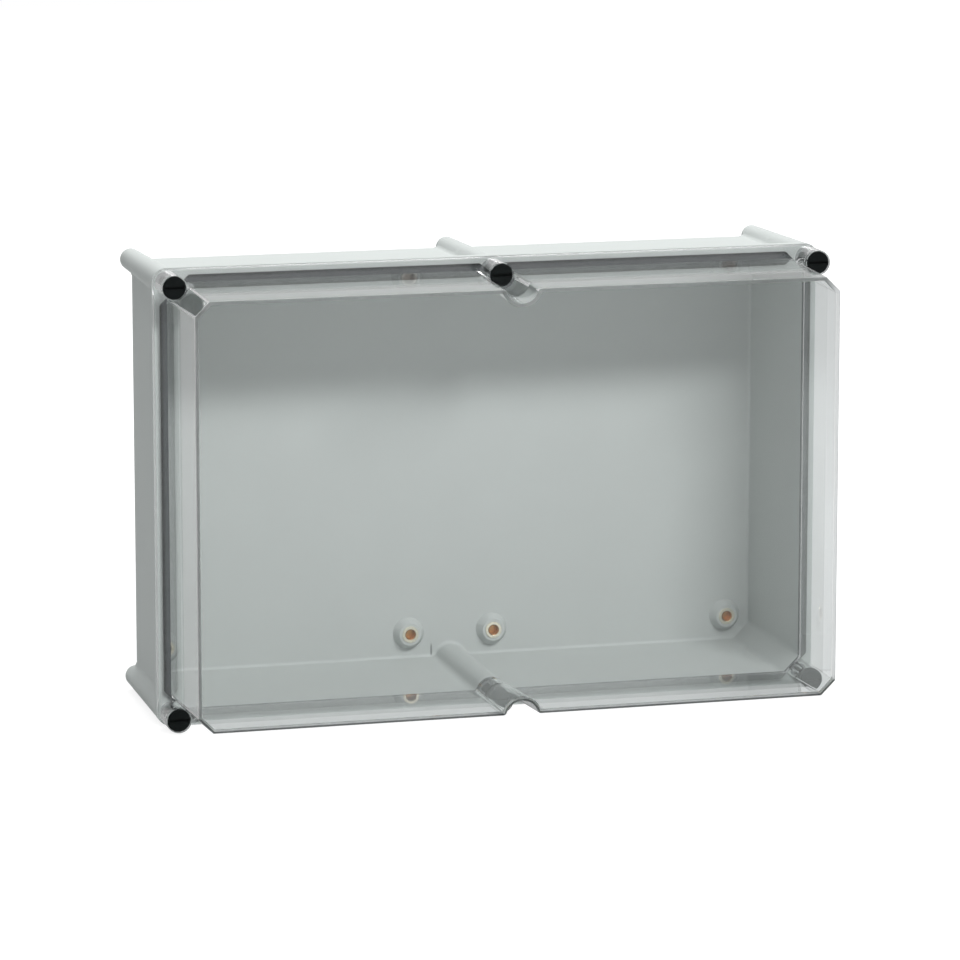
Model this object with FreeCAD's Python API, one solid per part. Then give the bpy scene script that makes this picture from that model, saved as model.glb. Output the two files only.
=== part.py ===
import FreeCAD, Part
import math
import os

from FreeCAD import Vector

# Wall-mounted polyester enclosure: a grey moulded base tray, a deep clear cover with its gasket,
# and six captive cover screws that turn a quarter in sockets at the heads of the base's columns.
# Millimetres. x runs right, z up, y towards the wall. The column feet touch the wall at y = 0,
# the front faces -y, and the origin is the middle of that wall plane.

# Overall sizes, measured over the rim
width = 540.0
height = 360.0
base_depth = 135.0           # wall plane to the joint between base and cover
cover_depth = 92.0           # joint to the front face

# Base tray
rim_width = 12.0             # rim face, from the outside edge to the opening
rim_thickness = 9.0
rim_edge_radius = 1.0
wall = 4.2
back_wall = 4.5
base_draft = 1.1             # degrees, on the walls inside and outside
opening_radius = 6.0         # upright inside corners of the tray
floor_radius = 2.5           # inside, where the walls meet the back
back_edge_radius = 4.0       # outside, where the walls meet the back

# Six columns that run the full depth of the base
column_front_radius = 11.0
column_rear_radius = 8.5
column_inner_front_radius = 12.6    # swelling of the two middle columns inside the tray
column_inner_rear_radius = 13.4
column_web = 0.8             # plastic between a corner column and the slanting inside wall
column_blend = 4.0           # hollow blend between a column and the outside of a wall
foot_height = 6.0            # the columns stand proud of the back by this much
foot_edge_radius = 1.4
column_wall = 3.4            # plastic round the bore at the foot

# Screws through the columns into the wall
wall_screw_hole = 6.5
wall_screw_seat = 12.0       # depth of plastic under the wall screw's head

# Sockets for the cover screws
socket_radius = 5.6
socket_length = 28.0
socket_flange_radius = 6.6
socket_flange = 1.5
socket_clearance = 0.05
socket_ledge = 0.4           # step in the column that the socket stands on

# Threaded inserts on the back, in two rectangles side by side
insert_side_margin = 35.0    # outer inserts from the base's sides
insert_end_margin = 35.0     # upper and lower inserts from its top and bottom
insert_middle_x = 35.0       # inner inserts from the middle
boss_height = 6.7
boss_front_radius = 9.0
boss_draft = 31.0            # degrees
insert_body_radius = 5.6
insert_length = 7.0
insert_flange_radius = 6.8
insert_flange = 0.8
insert_flange_edge = 0.3
insert_bore = 8.0            # nominal thread size
insert_countersink = 9.2
insert_countersink_depth = 0.45
insert_floor = 1.2           # metal behind the blind bore
insert_groove_start = 2.4    # the groove that keeps the insert from pulling out
insert_groove_width = 1.8
insert_groove_depth = 0.5
insert_groove_slope = 0.4
insert_clearance = 0.02

# Clear cover
cover_inset = 0.5            # the cover's edge stands back from the rim's edge
flange_thickness = 5.0
flange_gap = 0.2             # the cover rests on the columns and the gasket, just clear of the rim
flange_edge_radius = 0.8
cover_wall = 3.0
cover_front = 3.2
cover_draft = 1.8            # degrees
recess_radius = 9.6          # half-round recess for a middle screw, at the joint
recess_draft = 2.3           # degrees
recess_land_drop = 2.0       # from a middle screw's axis to the plastic between tube and recess
corner_gap = 8.7             # a corner screw's axis to the slanting cover wall, at the joint
box_margin = 10.5            # rim's edge to the deep part of the cover, at the joint
box_corner_radius = 1.6
box_blend_radius = 3.0
front_edge_radius = 0.6

# Screw tubes on the cover
tube_height = 32.0           # joint to the mouth of a tube
tube_radius = 9.9
tube_core_radius = 7.6
tube_shoulder = 3.6
seal_lug_reach = 15.6        # lead-seal lug beside each corner tube, from the screw's axis
seal_lug_width = 6.4
seal_lug_thickness = 2.6
seal_lug_setback = 3.0       # behind the tube's mouth
seal_hole = 2.2

# Gasket in the cover's groove
gasket_inset = 5.2           # rim's edge to the gasket
gasket_lap = 0.8             # opening's edge to the gasket
gasket_thickness = 3.2
gasket_screw_gap = 8.2       # screw's axis to the gasket
gasket_blend_radius = 3.0
gasket_clearance = 0.05

# Captive quarter-turn cover screws
head_radius = 9.0
head_thickness = 5.0
head_edge = 0.7
head_clearance = 0.3
slot_width = 2.0
slot_depth = 2.2
slot_length = 15.0
shank_radius = 3.5
shank_clearance = 0.3
shank_reach = 25.0           # how far the shank stands into the column
cam_length = 6.0
cam_width = 5.0
tip_chamfer = 0.8
seat_gap = 0.1
retainer_radius = 6.2
retainer_thickness = 1.2
retainer_groove_depth = 0.9
retainer_gap = 0.5           # play between the retainer and the tube's shoulder

# Places that follow from the sizes above
joint_y = -base_depth
front_y = -base_depth - cover_depth
flange_y = joint_y - flange_thickness
mouth_y = joint_y - tube_height
back_y = -foot_height
tray_y = back_y - back_wall
column_x = width / 2 - column_front_radius
column_z = height / 2 - column_front_radius
seat_y = mouth_y + head_thickness + seat_gap
shoulder_y = seat_y + tube_shoulder
backward = Vector(0, 1, 0)
root_two = math.sqrt(2.0)
blend_bite = 0.05            # how far a blend's edges sink into what they meet

column_places = [(x, z) for z in (column_z, -column_z) for x in (-column_x, 0.0, column_x)]
insert_x = width / 2 - insert_side_margin
insert_z = height / 2 - insert_end_margin
insert_rows = (-insert_x, -insert_middle_x, insert_middle_x, insert_x)
insert_places = [(x, z) for x in insert_rows for z in (insert_z, -insert_z)]


def cylinder(radius, x, z, y_front, y_rear):
    """A round bar along y."""
    return Part.makeCylinder(radius, y_rear - y_front, Vector(x, y_front, z), backward)


def cone(front_radius, rear_radius, x, z, y_front, y_rear):
    """A tapered round bar along y."""
    return Part.makeCone(front_radius, rear_radius, y_rear - y_front, Vector(x, y_front, z), backward)


def block(x_low, x_high, y_low, y_high, z_low, z_high):
    """A box between two corners."""
    size = Vector(x_high - x_low, y_high - y_low, z_high - z_low)
    return Part.makeBox(size.x, size.y, size.z, Vector(x_low, y_low, z_low))


def turned(points, x, z):
    """Revolve a closed outline of (radius, y) points about the y axis through x, z."""
    corners = [Vector(x + radius, y, z) for radius, y in points]
    face = Part.Face(Part.makePolygon(corners + corners[:1]))
    return face.revolve(Vector(x, 0, z), backward, 360)


def rounded_bar(radius, rear_radius, edge, x, z, y_front, y_rear):
    """A tapered bar along y whose rear edge is rounded."""
    bar = cone(radius, rear_radius, x, z, y_front, y_rear)
    rear_edges = [e for e in bar.Edges if abs(e.BoundBox.YMin - y_rear) < 0.01 and len(e.Vertexes) == 1]
    return bar.makeFillet(edge, rear_edges)


def rounded_plate(half_w, half_h, corner, y_front, y_rear):
    """A flat plate with round corners, facing y."""
    plate = block(-half_w, half_w, y_front, y_rear, -half_h, half_h)
    along_y = [e for e in plate.Edges if abs(e.tangentAt(e.FirstParameter).y) > 0.9]
    return plate.makeFillet(corner, along_y)


def corner_leg(half_w, half_h, axis_gap):
    """Leg of the 45 degree corner whose slanting side passes axis_gap inside a corner column's axis."""
    return half_w + half_h - (column_x + column_z - root_two * axis_gap)


def quarter_path(half_w, half_h, leg, corner, notch, blend):
    """A quarter of an outline with a 45 degree corner and a half-round recess about a middle column.

    Each entry is (start, middle or None, end) in x, z. The recess itself joins two quarters."""
    blend_x = math.sqrt((notch + blend) ** 2 - (half_h - blend - column_z) ** 2)
    blend_z = half_h - blend
    reach = notch + blend
    touch = (blend_x * notch / reach, column_z + (blend_z - column_z) * notch / reach)
    lean = math.atan2(touch[1] - blend_z, touch[0] - blend_x)
    turn = (lean % (2 * math.pi) + math.pi / 2) / 2
    bulge = (blend_x + blend * math.cos(turn), blend_z + blend * math.sin(turn))
    run = corner * math.tan(math.pi / 8)
    slant = run / root_two
    start = (half_w - leg - run, half_h)
    first = (half_w - leg + slant, half_h - slant)
    second = (half_w - slant, half_h - leg + slant)
    end = (half_w, half_h - leg - run)
    sine = math.sin(math.pi / 8)
    cosine = math.cos(math.pi / 8)
    soft_top = (start[0] + corner * sine, half_h - corner * (1 - cosine))
    soft_side = (half_w - corner * (1 - cosine), end[1] + corner * sine)
    return [
        (touch, bulge, (blend_x, half_h)),
        ((blend_x, half_h), None, start),
        (start, soft_top, first),
        (first, None, second),
        (second, soft_side, end),
    ]


def outline(half_w, half_h, leg, corner, notch, blend, y):
    """The closed outline at depth y, with 45 degree corners and two half-round recesses."""
    quarter = quarter_path(half_w, half_h, leg, corner, notch, blend)
    touch = quarter[0][0]
    side = quarter[-1][2]
    edges = []

    def add(start, middle, end):
        a = Vector(start[0], y, start[1])
        b = Vector(end[0], y, end[1])
        if middle is None:
            edges.append(Part.LineSegment(a, b).toShape())
        else:
            edges.append(Part.Arc(a, Vector(middle[0], y, middle[1]), b).toShape())

    def mirrored(point, sx, sz):
        return (point[0] * sx, point[1] * sz)

    for sx, sz in ((1, 1), (1, -1), (-1, -1), (-1, 1)):
        forward = sx * sz > 0
        steps = quarter if forward else [(c, b, a) for a, b, c in reversed(quarter)]
        for start, middle, end in steps:
            soft = None if middle is None else mirrored(middle, sx, sz)
            add(mirrored(start, sx, sz), soft, mirrored(end, sx, sz))
        if forward:
            add(mirrored(side, sx, sz), None, mirrored(side, sx, -sz))
        else:
            add(mirrored(touch, sx, sz), (0, sz * (column_z - notch)), mirrored(touch, -sx, sz))
    return Part.Wire(edges)


def between(front_wire, rear_wire):
    """The solid between two outlines that match edge for edge."""
    return Part.makeLoft([front_wire, rear_wire], True, True)


def end_edges(shape, y):
    """The edges that lie wholly at depth y."""
    return [e for e in shape.Edges if abs(e.BoundBox.YMin - y) < 0.01 and abs(e.BoundBox.YMax - y) < 0.01]


def base_shrink(y):
    """How far the base's walls have drawn in at depth y, counted from the joint."""
    return (y - joint_y) * math.tan(math.radians(base_draft))


def opening_outline(y):
    """The inside of the tray at depth y."""
    half_w = width / 2 - rim_width - base_shrink(y)
    half_h = height / 2 - rim_width - base_shrink(y)
    leg = corner_leg(half_w, half_h, column_front_radius + column_web + base_shrink(y))
    share = (y - joint_y) / base_depth
    swelling = column_inner_front_radius + share * (column_inner_rear_radius - column_inner_front_radius)
    return outline(half_w, half_h, leg, opening_radius, swelling, opening_radius, y)


def tray_cavity():
    """The space inside the tray, with the soft edge round its back."""
    cavity = between(opening_outline(joint_y), opening_outline(tray_y))
    return cavity.makeFillet(floor_radius, end_edges(cavity, tray_y))


def wall_shell():
    """The outside of the tray's walls and back, before the rim and columns are added."""
    front_w = width / 2 - rim_width + wall
    front_h = height / 2 - rim_width + wall
    rear_w = front_w - base_shrink(back_y)
    rear_h = front_h - base_shrink(back_y)
    shell = Part.makeWedge(
        -front_w, joint_y, -front_h, -rear_h, -rear_w,
        front_w, back_y, front_h, rear_h, rear_w,
    )
    return shell.makeFillet(back_edge_radius, end_edges(shell, back_y))


def blend_section(x, z, along, outward, y):
    """Cross-section at depth y of the hollow blend between a column and a wall it stands out of."""
    taper = (y - joint_y) / base_depth * (column_front_radius - column_rear_radius)
    radius = column_front_radius - taper
    proud = column_front_radius - rim_width + wall - base_shrink(y)
    rise = proud + column_blend
    run = math.sqrt((radius + column_blend) ** 2 - rise ** 2)
    share = (radius - blend_bite) / (radius + column_blend)
    half_turn = math.atan2(run, rise) / 2
    middle_u = run - column_blend * math.sin(half_turn)
    middle_v = rise - column_blend * math.cos(half_turn)

    def place(u, v):
        return Vector(x + u * along[0] + v * outward[0], y, z + u * along[1] + v * outward[1])

    on_column = place(run * share, rise * share)
    on_wall = place(run, proud - blend_bite)
    root = place(run, proud - wall / 2)
    heart = place(radius / 3, proud - wall / 2)
    return Part.Wire([
        Part.Arc(on_column, place(middle_u, middle_v), on_wall).toShape(),
        Part.LineSegment(on_wall, root).toShape(),
        Part.LineSegment(root, heart).toShape(),
        Part.LineSegment(heart, on_column).toShape(),
    ])


def column_blends():
    """Hollow blends on both sides of each column."""
    blends = []
    for x, z in column_places:
        up = (0, math.copysign(1, z))
        if x == 0:
            sides = [((1, 0), up), ((-1, 0), up)]
        else:
            out = (math.copysign(1, x), 0)
            sides = [((-out[0], 0), up), ((0, -up[1]), out)]
        for along, outward in sides:
            sections = [
                blend_section(x, z, along, outward, y)
                for y in (joint_y + rim_thickness / 2, back_y - blend_bite)
            ]
            blends.append(between(sections[0], sections[1]))
    return blends


def rim():
    """The thick rim that carries the cover, with its edges eased."""
    plate = rounded_plate(width / 2, height / 2, column_front_radius, joint_y, joint_y + rim_thickness)
    return plate.makeFillet(rim_edge_radius, end_edges(plate, joint_y + rim_thickness))


def column_bore(x, z):
    """Socket seat, the way for a wall screw's head, and the hole through the foot."""
    flange_seat = cylinder(socket_flange_radius + socket_clearance, x, z, joint_y, joint_y + socket_flange)
    bore_radius = socket_radius + socket_clearance
    socket_end = joint_y + socket_length
    socket_seat = cylinder(bore_radius, x, z, joint_y, socket_end)
    foot_radius = column_rear_radius - column_wall
    head_way = cone(socket_radius - socket_ledge, foot_radius, x, z, socket_end, -wall_screw_seat)
    through = cylinder(wall_screw_hole / 2, x, z, -wall_screw_seat, 0)
    return [flange_seat, socket_seat, head_way, through]


def insert_boss(x, z):
    """A squat tapered boss for one threaded insert."""
    grow = boss_height * math.tan(math.radians(boss_draft))
    sunk = back_wall / 2
    foot = cone(boss_front_radius, boss_front_radius + grow, x, z, tray_y - boss_height, tray_y)
    root = cylinder(boss_front_radius + grow, x, z, tray_y, tray_y + sunk)
    return foot.fuse(root)


def insert_seat(x, z):
    """The hole that an insert is moulded into."""
    front = tray_y - boss_height
    return cylinder(insert_body_radius + insert_clearance, x, z, front, front + insert_length)


def make_base_tray():
    """Walls, back, rim, columns and bosses as one moulding."""
    columns = [
        rounded_bar(column_front_radius, column_rear_radius, foot_edge_radius, x, z, joint_y, 0)
        for x, z in column_places
    ]
    body = wall_shell().fuse([rim()] + columns + column_blends())
    body = body.cut(tray_cavity())
    body = body.fuse([insert_boss(x, z) for x, z in insert_places])
    tools = [insert_seat(x, z) for x, z in insert_places]
    for x, z in column_places:
        tools += column_bore(x, z)
    return body.cut(tools).removeSplitter()


def make_socket(x, z):
    """Flanged sleeve at the head of a column, which takes one cover screw."""
    bore = shank_radius + shank_clearance
    profile = [
        (bore, joint_y),
        (socket_flange_radius, joint_y),
        (socket_flange_radius, joint_y + socket_flange),
        (socket_radius, joint_y + socket_flange),
        (socket_radius, joint_y + socket_length),
        (bore, joint_y + socket_length),
    ]
    return turned(profile, x, z)


def make_insert(x, z):
    """Threaded insert: flange on the boss, grooved body in it, countersunk blind bore."""
    face = tray_y - boss_height
    front = face - insert_flange
    end = face + insert_length
    groove = insert_body_radius - insert_groove_depth
    groove_front = face + insert_groove_start
    groove_rear = groove_front + insert_groove_width
    profile = [
        (0, end),
        (0, end - insert_floor),
        (insert_bore / 2, end - insert_floor),
        (insert_bore / 2, front + insert_countersink_depth),
        (insert_countersink / 2, front),
        (insert_flange_radius - insert_flange_edge, front),
        (insert_flange_radius, front + insert_flange_edge),
        (insert_flange_radius, face),
        (insert_body_radius, face),
        (insert_body_radius, groove_front),
        (groove, groove_front + insert_groove_slope),
        (groove, groove_rear - insert_groove_slope),
        (insert_body_radius, groove_rear),
        (insert_body_radius, end),
    ]
    return turned(profile, x, z)


def cover_shrink(y):
    """How far the cover's walls have drawn in at depth y, counted from the joint."""
    return (joint_y - y) * math.tan(math.radians(cover_draft))


def recess_at(y):
    """Radius of the half-round recess round a middle screw at depth y."""
    return recess_radius + (joint_y - y) * math.tan(math.radians(recess_draft))


def box_outline(thickness, y):
    """The deep part of the cover at depth y: thickness 0 gives the outside, cover_wall the inside."""
    inward = cover_shrink(y) + thickness
    half_w = width / 2 - box_margin - inward
    half_h = height / 2 - box_margin - inward
    leg = corner_leg(half_w, half_h, corner_gap + inward)
    recess = recess_at(y) + thickness
    return outline(half_w, half_h, leg, box_corner_radius, recess, box_blend_radius, y)


def cover_box():
    """The outside of the deep part, with a soft edge round the front."""
    box = between(box_outline(0, front_y), box_outline(0, joint_y))
    return box.makeFillet(front_edge_radius, end_edges(box, front_y))


def cover_flange():
    """The flange that lies on the rim."""
    corner = column_front_radius - cover_inset
    plate = rounded_plate(width / 2 - cover_inset, height / 2 - cover_inset, corner, flange_y, joint_y)
    return plate.makeFillet(flange_edge_radius, end_edges(plate, flange_y))


def gasket_outline(outer, gap, y):
    """One edge of the gasket, or of its groove when gap is not zero."""
    if outer:
        half_w = width / 2 - gasket_inset + gap
        half_h = height / 2 - gasket_inset + gap
        axis_gap = gasket_screw_gap - gap
        notch = gasket_screw_gap - gap
    else:
        half_w = width / 2 - rim_width + gasket_lap - gap
        half_h = height / 2 - rim_width + gasket_lap - gap
        axis_gap = column_front_radius + column_web - gasket_lap + gap
        notch = column_inner_front_radius - gasket_lap + gap
    leg = corner_leg(half_w, half_h, axis_gap)
    return outline(half_w, half_h, leg, gasket_blend_radius, notch, gasket_blend_radius, y)


def gasket_ring(gap):
    """The gasket, or the groove for it when gap is not zero."""
    top_y = joint_y - gasket_thickness - gap
    outside = between(gasket_outline(True, gap, top_y), gasket_outline(True, gap, joint_y))
    inside = between(gasket_outline(False, gap, top_y), gasket_outline(False, gap, joint_y))
    return outside.cut(inside)


def recess_land(x, z):
    """The plastic that joins a middle tube to the recess behind the tube's mouth."""
    land = cone(recess_at(mouth_y) + blend_bite, recess_at(joint_y) + blend_bite, x, z, mouth_y, joint_y)
    reach = recess_at(mouth_y) + cover_wall
    level = z - math.copysign(recess_land_drop, z)
    beyond = z + math.copysign(reach, z)
    return land.cut(block(x - reach, x + reach, mouth_y, joint_y, min(level, beyond), max(level, beyond)))


def seal_lug(x, z):
    """Small lug with a hole for a lead seal, on the inner side of a corner tube."""
    half = seal_lug_width / 2
    lug_front = mouth_y + seal_lug_setback
    lug_rear = lug_front + seal_lug_thickness
    end = x - math.copysign(seal_lug_reach - half, x)
    plate = block(min(x, end), max(x, end), lug_front, lug_rear, z - half, z + half)
    return plate.fuse(cylinder(half, end, z, lug_front, lug_rear))


def seal_lug_hole(x, z):
    """The hole in a seal lug."""
    place = x - math.copysign(seal_lug_reach - seal_lug_width / 2, x)
    lug_front = mouth_y + seal_lug_setback
    return cylinder(seal_hole / 2, place, z, lug_front, lug_front + seal_lug_thickness)


def rim_relief():
    """The thin space between cover and rim, left out where the tubes stand on the columns."""
    half_w = width / 2
    half_h = height / 2
    slab = block(-half_w, half_w, joint_y - flange_gap, joint_y, -half_h, half_h)
    return slab.cut([cylinder(tube_radius, x, z, joint_y - flange_gap, joint_y) for x, z in column_places])


def make_clear_cover():
    """Flange, deep box and six screw tubes as one clear moulding."""
    tubes = [cylinder(tube_radius, x, z, mouth_y, joint_y) for x, z in column_places]
    corners = [(x, z) for x, z in column_places if x != 0]
    lugs = [seal_lug(x, z) for x, z in corners]
    lands = [recess_land(x, z) for x, z in column_places if x == 0]
    body = cover_box().fuse([cover_flange()] + tubes + lugs + lands)
    hollow = between(box_outline(cover_wall, front_y + cover_front), box_outline(cover_wall, joint_y))
    tools = [hollow, gasket_ring(gasket_clearance), rim_relief()]
    for x, z in column_places:
        tools.append(cylinder(head_radius + head_clearance, x, z, mouth_y, seat_y))
        tools.append(cylinder(shank_radius + shank_clearance, x, z, seat_y, shoulder_y))
        tools.append(cylinder(tube_core_radius, x, z, shoulder_y, joint_y))
    tools += [seal_lug_hole(x, z) for x, z in corners]
    return body.cut(tools).removeSplitter()


def make_cover_screw(x, z):
    """Slotted head, plain shank with a retainer groove, and a flattened cam at the tip."""
    head_rear = mouth_y + head_thickness
    tip = joint_y + shank_reach
    groove_front = shoulder_y + retainer_gap
    groove_rear = groove_front + retainer_thickness
    groove = shank_radius - retainer_groove_depth
    profile = [
        (0, mouth_y),
        (head_radius - head_edge, mouth_y),
        (head_radius, mouth_y + head_edge),
        (head_radius, head_rear),
        (shank_radius, head_rear),
        (shank_radius, groove_front),
        (groove, groove_front),
        (groove, groove_rear),
        (shank_radius, groove_rear),
        (shank_radius, tip - tip_chamfer),
        (shank_radius - tip_chamfer, tip),
        (0, tip),
    ]
    screw = turned(profile, x, z)
    half_slot = slot_length / 2
    slot = block(
        x - half_slot, x + half_slot,
        mouth_y, mouth_y + slot_depth,
        z - slot_width / 2, z + slot_width / 2,
    )
    flats = [
        block(x - shank_radius, x + shank_radius, tip - cam_length, tip, z + cam_width / 2, z + shank_radius),
        block(x - shank_radius, x + shank_radius, tip - cam_length, tip, z - shank_radius, z - cam_width / 2),
    ]
    return screw.cut([slot] + flats)


def make_screw_retainer(x, z):
    """Washer snapped into the screw's groove, which keeps the screw with the cover."""
    front = shoulder_y + retainer_gap
    inner = shank_radius - retainer_groove_depth
    outer = cylinder(retainer_radius, x, z, front, front + retainer_thickness)
    return outer.cut(cylinder(inner, x, z, front, front + retainer_thickness))


def write(name, shape):
    """Save one sub-part."""
    shape.exportStep("parts/" + name + ".step")
    print(name, len(shape.Solids), "solid", round(shape.Volume / 1000.0, 1), "cm3", shape.isValid())


write("base_tray", make_base_tray())
write("clear_cover", make_clear_cover())
write("cover_gasket", gasket_ring(0.0))
for number, (x, z) in enumerate(column_places, 1):
    write("column_socket_%d" % number, make_socket(x, z))
    write("cover_screw_%d" % number, make_cover_screw(x, z))
    write("screw_retainer_%d" % number, make_screw_retainer(x, z))
for number, (x, z) in enumerate(insert_places, 1):
    write("back_insert_%d" % number, make_insert(x, z))
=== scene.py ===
import math

import bmesh
import bpy
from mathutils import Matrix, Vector

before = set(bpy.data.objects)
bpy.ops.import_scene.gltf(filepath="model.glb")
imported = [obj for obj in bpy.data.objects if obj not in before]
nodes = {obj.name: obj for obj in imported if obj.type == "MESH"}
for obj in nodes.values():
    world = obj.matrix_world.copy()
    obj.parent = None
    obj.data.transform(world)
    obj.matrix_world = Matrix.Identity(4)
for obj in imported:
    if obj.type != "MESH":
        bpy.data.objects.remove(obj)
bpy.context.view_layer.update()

print("frame loaded,", len(nodes), "nodes")


# small helpers for node trees

def addNode(tree, kind, inputs=None, **settings):
    node = tree.nodes.new(kind)
    for key, value in settings.items():
        setattr(node, key, value)
    for key, value in (inputs or {}).items():
        if isinstance(value, bpy.types.NodeSocket):
            tree.links.new(value, node.inputs[key])
        else:
            node.inputs[key].default_value = value
    return node


def mathNode(tree, operation, first, second=0.0, clamp=False):
    node = addNode(tree, "ShaderNodeMath", {0: first, 1: second}, operation=operation, use_clamp=clamp)
    return node.outputs[0]


def largest(tree, *values):
    result = values[0]
    for value in values[1:]:
        result = mathNode(tree, "MAXIMUM", result, value)
    return result


def product(tree, *values):
    result = values[0]
    for value in values[1:]:
        result = mathNode(tree, "MULTIPLY", result, value)
    return result


def mixColour(tree, factor, first, second):
    node = tree.nodes.new("ShaderNodeMix")
    node.data_type = "RGBA"
    for index, value in ((0, factor), (6, first), (7, second)):
        if isinstance(value, bpy.types.NodeSocket):
            tree.links.new(value, node.inputs[index])
        else:
            node.inputs[index].default_value = value
    return node.outputs[2]


def rangeNode(tree, value, low, high, toLow, toHigh):
    node = addNode(tree, "ShaderNodeMapRange", {0: value, 1: low, 2: high, 3: toLow, 4: toHigh})
    return node.outputs[0]


def newGroup(name, inputs, outputs):
    group = bpy.data.node_groups.new(name, "ShaderNodeTree")
    for label, kind, value in inputs:
        socket = group.interface.new_socket(name=label, in_out="INPUT", socket_type=kind)
        if value is not None:
            socket.default_value = value
    for label, kind in outputs:
        group.interface.new_socket(name=label, in_out="OUTPUT", socket_type=kind)
    return group, group.nodes.new("NodeGroupInput"), group.nodes.new("NodeGroupOutput")


def useGroup(tree, group, inputs):
    return addNode(tree, "ShaderNodeGroup", inputs, node_tree=group)


def startMaterial(name):
    material = bpy.data.materials.new(name)
    material.use_nodes = True
    tree = material.node_tree
    tree.nodes.clear()
    output = tree.nodes.new("ShaderNodeOutputMaterial")
    place = tree.nodes.new("ShaderNodeTexCoord").outputs["Object"]
    return material, tree, output, place


# shared effects

def buildGrain():
    # cloudy tone and a fine tooth, for everything that comes out of a mould
    group, source, sink = newGroup(
        "mouldedGrain",
        [
            ("Vector", "NodeSocketVector", None),
            ("Colour", "NodeSocketColor", (0.5, 0.5, 0.5, 1)),
            ("Cloud Scale", "NodeSocketFloat", 30.0),
            ("Cloud Amount", "NodeSocketFloat", 0.04),
            ("Tooth Scale", "NodeSocketFloat", 900.0),
            ("Tooth Amount", "NodeSocketFloat", 0.03),
            ("Roughness", "NodeSocketFloat", 0.4),
            ("Roughness Spread", "NodeSocketFloat", 0.06),
        ],
        [("Colour", "NodeSocketColor"), ("Roughness", "NodeSocketFloat"), ("Height", "NodeSocketFloat")],
    )
    given = source.outputs
    cloud = addNode(group, "ShaderNodeTexNoise", {
        "Vector": given["Vector"], "Scale": given["Cloud Scale"], "Detail": 4.0, "Roughness": 0.55})
    tooth = addNode(group, "ShaderNodeTexNoise", {
        "Vector": given["Vector"], "Scale": given["Tooth Scale"], "Detail": 2.0, "Roughness": 0.6})
    # both noises lie about a half
    cloudSwing = mathNode(group, "SUBTRACT", cloud.outputs["Fac"], 0.5)
    toothSwing = mathNode(group, "SUBTRACT", tooth.outputs["Fac"], 0.5)
    cloudTone = product(group, cloudSwing, given["Cloud Amount"])
    toothTone = product(group, toothSwing, given["Tooth Amount"])
    tone = mathNode(group, "ADD", mathNode(group, "ADD", cloudTone, toothTone), 1.0)
    shade = addNode(group, "ShaderNodeVectorMath", {0: given["Colour"], 3: tone}, operation="SCALE")
    spread = product(group, cloudSwing, given["Roughness Spread"])
    roughness = mathNode(group, "ADD", given["Roughness"], spread, clamp=True)
    group.links.new(shade.outputs[0], sink.inputs["Colour"])
    group.links.new(roughness, sink.inputs["Roughness"])
    group.links.new(tooth.outputs["Fac"], sink.inputs["Height"])
    return group


mouldedGrain = buildGrain()


# grey glass-fibre polyester of the tray

polyester = {
    "colour": (0.52, 0.548, 0.535, 1),
    "fleck": (0.60, 0.62, 0.60, 1),
    "roughness": 0.55,
    "specular": 0.16,
    "bump": 0.12,
    "toothDepth": 0.0002,
    "strandTurn": (0.6, 0.9, 0.4),
    "strandStretch": (1.0, 7.0, 3.0),
    "strandScale": 120.0,
    "strandWidth": 0.05,
    "strandAmount": 0.10,
    # a thin dark slit painted on the back wall beside the lower middle column
    "mark": (0.20, 0.215, 0.21, 1),
    "markPlace": (-0.0159, -0.0105, -0.1606),
    "markSize": (0.0007, 0.0006, 0.0058),
    "markFade": (0.75, 1.2),      # its edge, in sizes from the middle
}


def slitMark(tree, place):
    # one inside the slit, fading over its edge
    middle = polyester["markPlace"]
    size = polyester["markSize"]
    near, far = polyester["markFade"]
    away = addNode(tree, "ShaderNodeVectorMath", {0: place, 1: middle}, operation="SUBTRACT")
    reach = addNode(tree, "ShaderNodeVectorMath", {0: away.outputs[0], 1: size}, operation="DIVIDE")
    length = addNode(tree, "ShaderNodeVectorMath", {0: reach.outputs[0]}, operation="LENGTH")
    return rangeNode(tree, length.outputs["Value"], near, far, 1.0, 0.0)


def makePolyester():
    material, tree, output, place = startMaterial("greyPolyester")
    look = polyester
    grain = useGroup(tree, mouldedGrain, {
        "Vector": place, "Colour": look["colour"], "Cloud Scale": 22.0, "Cloud Amount": 0.05,
        "Tooth Scale": 1400.0, "Tooth Amount": 0.05,
        "Roughness": look["roughness"], "Roughness Spread": 0.10})
    # short glass strands that show faintly just under the skin
    turned = addNode(tree, "ShaderNodeMapping", {
        "Vector": place, "Rotation": look["strandTurn"], "Scale": look["strandStretch"]})
    strands = addNode(tree, "ShaderNodeTexVoronoi", {
        "Vector": turned.outputs[0], "Scale": look["strandScale"]}, feature="DISTANCE_TO_EDGE")
    strandMask = rangeNode(
        tree, strands.outputs["Distance"], 0.0, look["strandWidth"], look["strandAmount"], 0.0)
    colour = mixColour(tree, strandMask, grain.outputs["Colour"], look["fleck"])
    # a thin dark slit painted on the back wall beside the lower middle column
    colour = mixColour(tree, slitMark(tree, place), colour, look["mark"])
    bump = addNode(tree, "ShaderNodeBump", {
        "Strength": look["bump"], "Distance": look["toothDepth"], "Height": grain.outputs["Height"]})
    skin = addNode(tree, "ShaderNodeBsdfPrincipled", {
        "Base Color": colour, "Roughness": grain.outputs["Roughness"], "Normal": bump.outputs[0],
        "Specular IOR Level": look["specular"]})
    tree.links.new(skin.outputs[0], output.inputs["Surface"])
    return material


# clear polycarbonate of the cover

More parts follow.
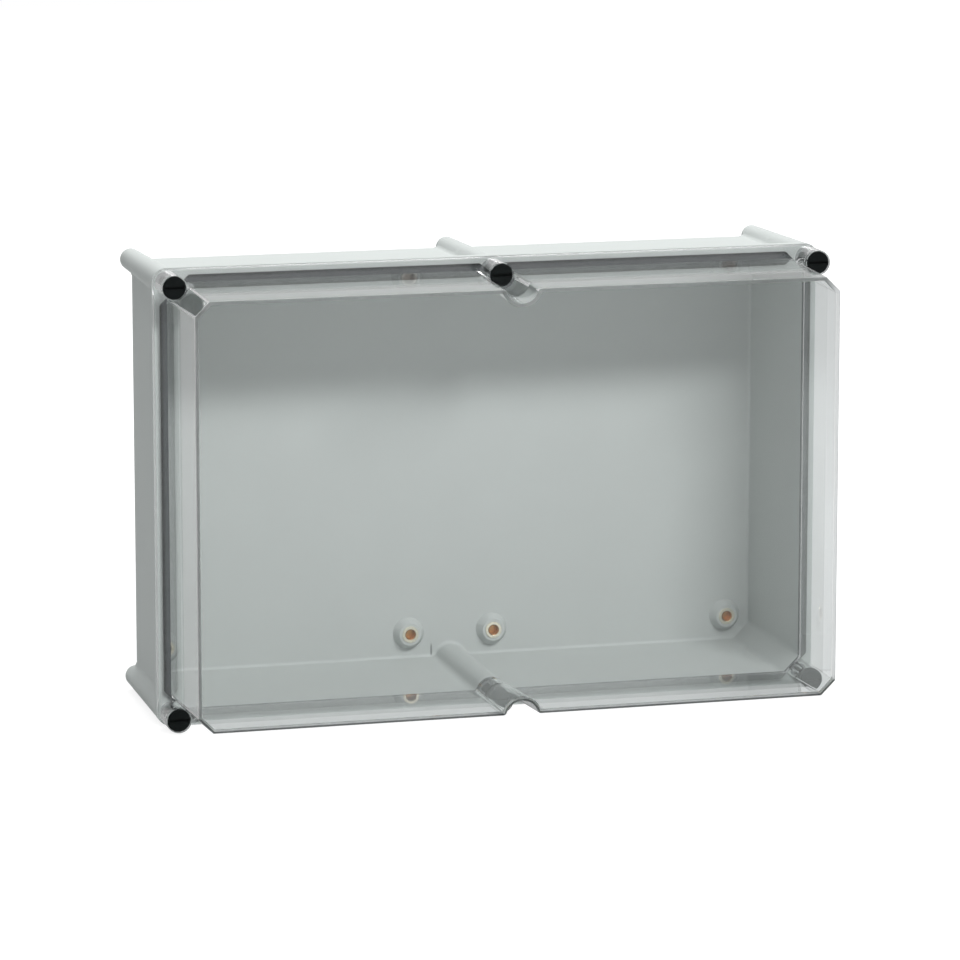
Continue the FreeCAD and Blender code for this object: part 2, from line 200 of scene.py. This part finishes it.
polycarbonate = {
    "colour": (0.985, 0.992, 0.992, 1),
    "index": 1.585,
    "roughness": 0.02,
    "wall": 0.003,
    "front": -0.2262,              # the skin in front of this is the front face
    # the front face's outline: half its width and height, where its corners slant, its recesses
    "halfWidth": 0.2566,
    "halfHeight": 0.1666,
    "corner": 0.4116,              # across plus upright on the slanting corners
    "recess": 0.0133,
    "screwLevel": 0.169,
    "edgeRoughness": 0.45,
    # painted shade: a dark line is painted along the lower edge and its slanting corners, standing in for the
    # dark they gather from under the box
    "lowerEdge": (0.07, 0.075, 0.075, 1),
    "lowerEdgeWidth": 0.0016,
    "lowerEdgeLevel": -0.1545,
    "flange": (0.2687, 0.1787),    # its outer edge starts here
    "flangeRoughness": 0.4,
    "lampTint": (0.99, 0.995, 0.995, 1),
    "caughtAfter": 3.5,            # turns after which light caught inside a wall comes out
    # along the front's edges it comes out sooner by so many turns
    "openedWidth": 0.0031,
    "openedBefore": -0.200,
    "openedTurns": 3.0,
    "openedReach": 0.243,          # not at the left edge, nor at the lower right corner
    "openedMiddle": 0.019,         # nor this near the lower middle screw
}


def frontEdge(tree, parts, width, before):
    # one along the front face's outline, as wide as given and in front of the depth given
    look = polycarbonate
    across = mathNode(tree, "ABSOLUTE", parts["X"])
    upright = mathNode(tree, "ABSOLUTE", parts["Z"])
    side = mathNode(tree, "SUBTRACT", look["halfWidth"], across)
    end = mathNode(tree, "SUBTRACT", look["halfHeight"], upright)
    slant = mathNode(tree, "SUBTRACT", look["corner"], mathNode(tree, "ADD", across, upright))
    slant = product(tree, slant, math.sqrt(0.5))
    below = mathNode(tree, "SUBTRACT", upright, look["screwLevel"])
    square = mathNode(tree, "ADD", product(tree, across, across), product(tree, below, below))
    recess = mathNode(tree, "SUBTRACT", mathNode(tree, "SQRT", square), look["recess"])
    straight = mathNode(tree, "MINIMUM", side, end)
    shaped = mathNode(tree, "MINIMUM", slant, recess)
    inward = mathNode(tree, "MINIMUM", straight, shaped)
    edge = mathNode(tree, "LESS_THAN", inward, width)
    return product(tree, edge, mathNode(tree, "LESS_THAN", parts["Y"], before))


def flangeEdge(tree, parts):
    # one round the rim of the flange
    halfWidth, halfHeight = polycarbonate["flange"]
    side = mathNode(tree, "GREATER_THAN", mathNode(tree, "ABSOLUTE", parts["X"]), halfWidth)
    end = mathNode(tree, "GREATER_THAN", mathNode(tree, "ABSOLUTE", parts["Z"]), halfHeight)
    return largest(tree, side, end)


def openedEdge(tree, parts, low):
    # turns that light inside the wall is spared along the front's edges
    look = polycarbonate
    edge = frontEdge(tree, parts, look["openedWidth"], look["openedBefore"])
    notLeft = mathNode(tree, "GREATER_THAN", parts["X"], -look["openedReach"])
    corner = mathNode(tree, "GREATER_THAN", parts["X"], look["openedReach"])
    middle = mathNode(tree, "LESS_THAN", mathNode(tree, "ABSOLUTE", parts["X"]), look["openedMiddle"])
    closed = product(tree, low, largest(tree, corner, middle))
    free = mathNode(tree, "SUBTRACT", 1.0, closed)
    inside = tree.nodes.new("ShaderNodeNewGeometry").outputs["Backfacing"]
    return product(tree, edge, notLeft, free, inside, look["openedTurns"])


def makePolycarbonate():
    material, tree, output, place = startMaterial("clearPolycarbonate")
    look = polycarbonate
    grain = useGroup(tree, mouldedGrain, {
        "Vector": place, "Colour": look["colour"], "Cloud Scale": 9.0, "Cloud Amount": 0.008,
        "Tooth Scale": 400.0, "Tooth Amount": 0.0, "Roughness": look["roughness"], "Roughness Spread": 0.012})
    parts = addNode(tree, "ShaderNodeSeparateXYZ", {0: place}).outputs
    front = product(tree, frontEdge(tree, parts, look["wall"], look["front"]), look["edgeRoughness"])
    flange = product(tree, flangeEdge(tree, parts), look["flangeRoughness"])
    roughness = largest(tree, grain.outputs["Roughness"], front, flange)
    # painted shade: a dark line along the lower front edge and its slanting corners
    low = mathNode(tree, "LESS_THAN", parts["Z"], look["lowerEdgeLevel"])
    lower = product(tree, frontEdge(tree, parts, look["lowerEdgeWidth"], look["front"]), low)
    colour = mixColour(tree, lower, grain.outputs["Colour"], look["lowerEdge"])
    clear = addNode(tree, "ShaderNodeBsdfPrincipled", {
        "Base Color": colour, "Roughness": roughness, "IOR": look["index"], "Transmission Weight": 1.0})
    # lamps and scattered light go straight through, and light caught inside a wall comes out again
    lamps = addNode(tree, "ShaderNodeBsdfTransparent", {"Color": look["lampTint"]})
    path = tree.nodes.new("ShaderNodeLightPath").outputs
    turns = mathNode(tree, "ADD", path["Ray Depth"], openedEdge(tree, parts, low))
    caught = mathNode(tree, "GREATER_THAN", turns, look["caughtAfter"])
    scattered = mathNode(tree, "GREATER_THAN", path["Diffuse Depth"], 0.5)
    straight = largest(tree, path["Is Shadow Ray"], caught, scattered)
    mix = addNode(tree, "ShaderNodeMixShader", {0: straight, 1: clear.outputs[0], 2: lamps.outputs[0]})
    tree.links.new(mix.outputs[0], output.inputs["Surface"])
    return material


# foamed gasket

gasket = {
    "colour": (0.048, 0.054, 0.057, 1),
    "pore": (0.023, 0.026, 0.028, 1),
    "poreScale": 1500.0,
    "poreRim": (0.12, 0.34),       # a pore's colour fades out between these
    "poreBump": 0.5,
    "poreDepth": 0.0003,
    "roughness": 0.8,
    "specular": 0.3,
    # its outer edge lies in the dark of the groove: where the shade begins and is full, inside the edge
    "outerEdge": (0.2648, 0.1748),
    "shadeFrom": 0.0030,
    "shadeFull": 0.0012,
    "shadeAmount": 0.95,
    "shade": (0.002, 0.0025, 0.0025, 1),
}


def makeGasket():
    material, tree, output, place = startMaterial("gasketFoam")
    look = gasket
    pores = addNode(tree, "ShaderNodeTexVoronoi", {"Vector": place, "Scale": look["poreScale"]}, feature="F1")
    near, far = look["poreRim"]
    poreMask = rangeNode(tree, pores.outputs["Distance"], near, far, 1.0, 0.0)
    grain = useGroup(tree, mouldedGrain, {
        "Vector": place, "Colour": look["colour"], "Cloud Scale": 60.0, "Cloud Amount": 0.2,
        "Tooth Scale": 2500.0, "Tooth Amount": 0.25, "Roughness": look["roughness"], "Roughness Spread": 0.1})
    colour = mixColour(tree, poreMask, grain.outputs["Colour"], look["pore"])
    parts = addNode(tree, "ShaderNodeSeparateXYZ", {0: place}).outputs
    halfWidth, halfHeight = look["outerEdge"]
    side = mathNode(tree, "SUBTRACT", mathNode(tree, "ABSOLUTE", parts["X"]), halfWidth)
    end = mathNode(tree, "SUBTRACT", mathNode(tree, "ABSOLUTE", parts["Z"]), halfHeight)
    outward = largest(tree, side, end)
    shade = rangeNode(tree, outward, -look["shadeFrom"], -look["shadeFull"], 0.0, look["shadeAmount"])
    colour = mixColour(tree, shade, colour, look["shade"])
    bump = addNode(tree, "ShaderNodeBump", {
        "Strength": look["poreBump"], "Distance": look["poreDepth"], "Height": pores.outputs["Distance"]})
    foam = addNode(tree, "ShaderNodeBsdfPrincipled", {
        "Base Color": colour, "Roughness": grain.outputs["Roughness"], "Normal": bump.outputs[0],
        "Specular IOR Level": look["specular"]})
    tree.links.new(foam.outputs[0], output.inputs["Surface"])
    return material


# black and dark polyamide of screws, retainers and sockets

polyamide = {
    "screw": {"colour": (0.0035, 0.0050, 0.0050, 1), "roughness": 0.5, "specular": 0.10, "bump": 0.25},
    "retainer": {"colour": (0.02, 0.02, 0.021, 1), "roughness": 0.5, "specular": 0.3, "bump": 0.2},
    "socket": {"colour": (0.16, 0.17, 0.17, 1), "roughness": 0.5, "specular": 0.4, "bump": 0.2},
    "toothDepth": 0.0001,
}


def makePolyamide(name, look):
    material, tree, output, place = startMaterial(name)
    grain = useGroup(tree, mouldedGrain, {
        "Vector": place, "Colour": look["colour"], "Cloud Scale": 160.0, "Cloud Amount": 0.25,
        "Tooth Scale": 2600.0, "Tooth Amount": 0.3, "Roughness": look["roughness"], "Roughness Spread": 0.12})
    bump = addNode(tree, "ShaderNodeBump", {
        "Strength": look["bump"], "Distance": polyamide["toothDepth"], "Height": grain.outputs["Height"]})
    body = addNode(tree, "ShaderNodeBsdfPrincipled", {
        "Base Color": grain.outputs["Colour"], "Roughness": grain.outputs["Roughness"],
        "Normal": bump.outputs[0], "Specular IOR Level": look["specular"]})
    tree.links.new(body.outputs[0], output.inputs["Surface"])
    return material


# turned brass of the inserts

brass = {
    "colour": (0.97, 0.92, 0.77, 1),
    "tarnish": (0.57, 0.30, 0.11, 1),
    "thread": (0.16, 0.11, 0.06, 1),
    "upperShade": (0.30, 0.29, 0.27, 1),       # painted shade: the upper inserts are darkened, standing in for the shadow they lie in
    "upperShadeAmount": 0.8,
    "columns": (0.135, 0.100),      # inserts stand at 0.135 plus or minus 0.100 across
    "level": 0.145,
    "bore": (0.0038, 0.0040, 0.0048),    # behind its wall, at its wall, and where the face begins
    "ringPitch": 0.00035,
    "ringBump": 0.15,
    "ringDepth": 0.00003,
    "threadPitch": 0.00125,
    "threadShade": (0.75, 0.15),    # painted shade of the thread, in the root and on the crest
    "roughness": 0.24,
}


def makeBrass():
    material, tree, output, place = startMaterial("insertBrass")
    look = brass
    # distance to the axis of the nearest insert, by folding the eight places onto one
    middle, offset = look["columns"]
    parts = addNode(tree, "ShaderNodeSeparateXYZ", {0: place}).outputs
    across = mathNode(tree, "ABSOLUTE", parts["X"])
    across = mathNode(tree, "ABSOLUTE", mathNode(tree, "SUBTRACT", across, middle))
    across = mathNode(tree, "SUBTRACT", across, offset)
    upright = mathNode(tree, "SUBTRACT", mathNode(tree, "ABSOLUTE", parts["Z"]), look["level"])
    square = mathNode(tree, "ADD", product(tree, across, across), product(tree, upright, upright))
    radius = mathNode(tree, "SQRT", square)
    rings = mathNode(tree, "SINE", product(tree, radius, 2 * math.pi / look["ringPitch"]))
    threads = mathNode(tree, "SINE", product(tree, parts["Y"], 2 * math.pi / look["threadPitch"]))
    behindWall, wall, face = look["bore"]
    root, crest = look["threadShade"]
    inside = rangeNode(tree, radius, wall, face, 1.0, 0.0)
    bored = product(tree, inside, mathNode(tree, "GREATER_THAN", radius, behindWall))
    # painted shade: the thread is painted in, dark in its roots and lighter on its crests, as its shade would
    # fall
    groove = product(tree, bored, rangeNode(tree, threads, -1.0, 1.0, root, crest))
    colour = mixColour(tree, inside, look["colour"], look["tarnish"])
    colour = mixColour(tree, groove, colour, look["thread"])
    # painted shade on the upper inserts, which lie in shadow
    upper = product(tree, mathNode(tree, "GREATER_THAN", parts["Z"], 0.0), look["upperShadeAmount"])
    colour = mixColour(tree, upper, colour, look["upperShade"])
    grain = useGroup(tree, mouldedGrain, {
        "Vector": place, "Colour": colour, "Cloud Scale": 300.0, "Cloud Amount": 0.12,
        "Tooth Scale": 3000.0, "Tooth Amount": 0.08,
        "Roughness": look["roughness"], "Roughness Spread": 0.12})
    bump = addNode(tree, "ShaderNodeBump", {
        "Strength": look["ringBump"], "Distance": look["ringDepth"], "Height": rings})
    metal = addNode(tree, "ShaderNodeBsdfPrincipled", {
        "Base Color": grain.outputs["Colour"], "Roughness": grain.outputs["Roughness"],
        "Normal": bump.outputs[0], "Metallic": 1.0})
    tree.links.new(metal.outputs[0], output.inputs["Surface"])
    return material


materials = {
    "base_tray": makePolyester(),
    "clear_cover": makePolycarbonate(),
    "cover_gasket": makeGasket(),
    "cover_screw": makePolyamide("blackPolyamide", polyamide["screw"]),
    "screw_retainer": makePolyamide("retainerPolyamide", polyamide["retainer"]),
    "column_socket": makePolyamide("socketPolyamide", polyamide["socket"]),
    "back_insert": makeBrass(),
}


def dressNodes():
    for name, node in nodes.items():
        kind = name.rstrip("0123456789").rstrip("_")
        node.data.materials.clear()
        node.data.materials.append(materials[kind])


dressNodes()
print("materials on", len(nodes), "nodes")


# floor, world and lamps

studio = {
    "floorHeight": -0.180,
    "floorSize": 12.0,
    "floorBounce": (0.70, 0.70, 0.70, 1),
    "floorWhite": 0.86,          # even part of the floor's white, the rest takes the shadow
    "floorShade": 0.24,
    "floorFade": (0.5, 1.2),     # past this far from the box the floor is plain white
    "ambient": (0.288, 0.298, 0.303, 1),
    "seenThrough": (0.65, 0.66, 0.66, 1),    # the studio behind clear plastic
    # what shiny faces find behind the box and before it, and where the one turns into the other
    "mirroredSky": (0.62, 1.0),
    "skyTurns": (-0.5, 0.4),
    "mirroredFloor": (0.35, 0.36),
    "floorTurns": (-0.3, 0.3),
}

keyLight = {"azimuth": 15.0, "elevation": 42.0, "distance": 4.0, "width": 2.0, "height": 0.5, "power": 104.0}
topLight = {"place": (0.0, 1.2, 2.0), "size": 2.0, "power": 54.0}


def seenOrMirrored(tree):
    # one where the camera, a mirror or glass looks, zero where light is gathered
    path = tree.nodes.new("ShaderNodeLightPath")
    rays = [path.outputs[kind] for kind in ("Is Camera Ray", "Is Glossy Ray", "Is Transmission Ray")]
    fresh = mathNode(tree, "LESS_THAN", path.outputs["Diffuse Depth"], 0.5)
    return product(tree, largest(tree, *rays), fresh)


def mirroredTone(tree, depth, turns, tones):
    # the tone that shiny faces find before and behind the box; plain white to the camera
    path = tree.nodes.new("ShaderNodeLightPath")
    near, far = turns
    behind, before = tones
    tone = rangeNode(tree, depth, near, far, before, behind)
    through = path.outputs["Is Transmission Ray"]
    mirror = product(tree, path.outputs["Is Glossy Ray"], mathNode(tree, "SUBTRACT", 1.0, through))
    plain = mixColour(tree, through, (1, 1, 1, 1), studio["seenThrough"])
    return mixColour(tree, mirror, plain, tone)


def makeFloor():
    mesh = bpy.data.meshes.new("floor")
    sheet = bmesh.new()
    bmesh.ops.create_grid(sheet, x_segments=1, y_segments=1, size=studio["floorSize"] / 2)
    bmesh.ops.translate(sheet, verts=sheet.verts, vec=(0, 0, studio["floorHeight"]))
    sheet.to_mesh(mesh)
    sheet.free()
    floor = bpy.data.objects.new("floor", mesh)
    bpy.context.scene.collection.objects.link(floor)
    material, tree, output, place = startMaterial("floorWhite")
    bounce = addNode(tree, "ShaderNodeBsdfDiffuse", {"Color": studio["floorBounce"]})
    parts = addNode(tree, "ShaderNodeSeparateXYZ", {0: place}).outputs
    tone = mirroredTone(tree, parts["Y"], studio["floorTurns"], studio["mirroredFloor"])
    shadeTone = addNode(tree, "ShaderNodeVectorMath", {0: tone, 3: studio["floorShade"]}, operation="SCALE")
    shade = addNode(tree, "ShaderNodeBsdfDiffuse", {"Color": shadeTone.outputs[0]})
    away = addNode(tree, "ShaderNodeVectorMath", {0: place}, operation="LENGTH").outputs["Value"]
    near, far = studio["floorFade"]
    level = rangeNode(tree, away, near, far, studio["floorWhite"], 1.0)
    even = addNode(tree, "ShaderNodeEmission", {"Color": tone, "Strength": level})
    seen = addNode(tree, "ShaderNodeAddShader", {0: even.outputs[0], 1: shade.outputs[0]})
    mix = addNode(tree, "ShaderNodeMixShader", {
        0: seenOrMirrored(tree), 1: bounce.outputs[0], 2: seen.outputs[0]})
    tree.links.new(mix.outputs[0], output.inputs["Surface"])
    floor.data.materials.append(material)


def makeWorld():
    world = bpy.data.worlds.new("studioWorld")
    world.use_nodes = True
    tree = world.node_tree
    tree.nodes.clear()
    output = tree.nodes.new("ShaderNodeOutputWorld")
    soft = addNode(tree, "ShaderNodeBackground", {"Color": studio["ambient"], "Strength": 1.0})
    direction = tree.nodes.new("ShaderNodeTexCoord").outputs["Generated"]
    parts = addNode(tree, "ShaderNodeSeparateXYZ", {0: direction}).outputs
    white = addNode(tree, "ShaderNodeBackground", {
        "Color": mirroredTone(tree, parts["Y"], studio["skyTurns"], studio["mirroredSky"]), "Strength": 1.0})
    mix = addNode(tree, "ShaderNodeMixShader", {
        0: seenOrMirrored(tree), 1: soft.outputs[0], 2: white.outputs[0]})
    tree.links.new(mix.outputs[0], output.inputs["Surface"])
    bpy.context.scene.world = world


def outFrom(azimuth, elevation):
    # the direction out from the box, azimuth 0 to its front
    turn = math.radians(azimuth)
    rise = math.radians(elevation)
    return Vector((math.sin(turn) * math.cos(rise), -math.cos(turn) * math.cos(rise), math.sin(rise)))


def makeLamps():
    key = bpy.data.lights.new("keyLamp", "AREA")
    key.shape = "RECTANGLE"
    key.size = keyLight["width"]
    key.size_y = keyLight["height"]
    key.energy = keyLight["power"]
    toLamp = outFrom(keyLight["azimuth"], keyLight["elevation"])
    keyLamp = bpy.data.objects.new("keyLamp", key)
    keyLamp.location = toLamp * keyLight["distance"]
    keyLamp.rotation_euler = toLamp.to_track_quat("Z", "Y").to_euler()
    bpy.context.scene.collection.objects.link(keyLamp)
    top = bpy.data.lights.new("topLamp", "AREA")
    top.shape = "DISK"
    top.size = topLight["size"]
    top.energy = topLight["power"]
    topLamp = bpy.data.objects.new("topLamp", top)
    topLamp.location = topLight["place"]
    topLamp.rotation_euler = Vector(topLight["place"]).to_track_quat("Z", "Y").to_euler()
    topLamp.visible_glossy = False
    bpy.context.scene.collection.objects.link(topLamp)


makeFloor()
makeWorld()
makeLamps()
print("floor, world and lamps in place")


# camera

cameraLook = {
    "azimuth": -15.514,
    "elevation": 10.489,
    "distance": 3.9986,
    "aim": (0.0, -0.110, 0.0),
    "lens": 189.4,
    "sensor": 36.0,
    "shift": (-0.00223, -0.00337),
    "farthest": 50.0,
}


def makeCamera():
    back = outFrom(cameraLook["azimuth"], cameraLook["elevation"])
    data = bpy.data.cameras.new("camera")
    data.sensor_width = cameraLook["sensor"]
    data.lens = cameraLook["lens"]
    data.shift_x, data.shift_y = cameraLook["shift"]
    data.clip_end = cameraLook["farthest"]
    camera = bpy.data.objects.new("camera", data)
    camera.location = Vector(cameraLook["aim"]) + back * cameraLook["distance"]
    camera.rotation_euler = back.to_track_quat("Z", "Y").to_euler()
    bpy.context.scene.collection.objects.link(camera)
    bpy.context.scene.camera = camera


makeCamera()
bpy.context.scene.view_settings.view_transform = "Standard"
print("camera set")
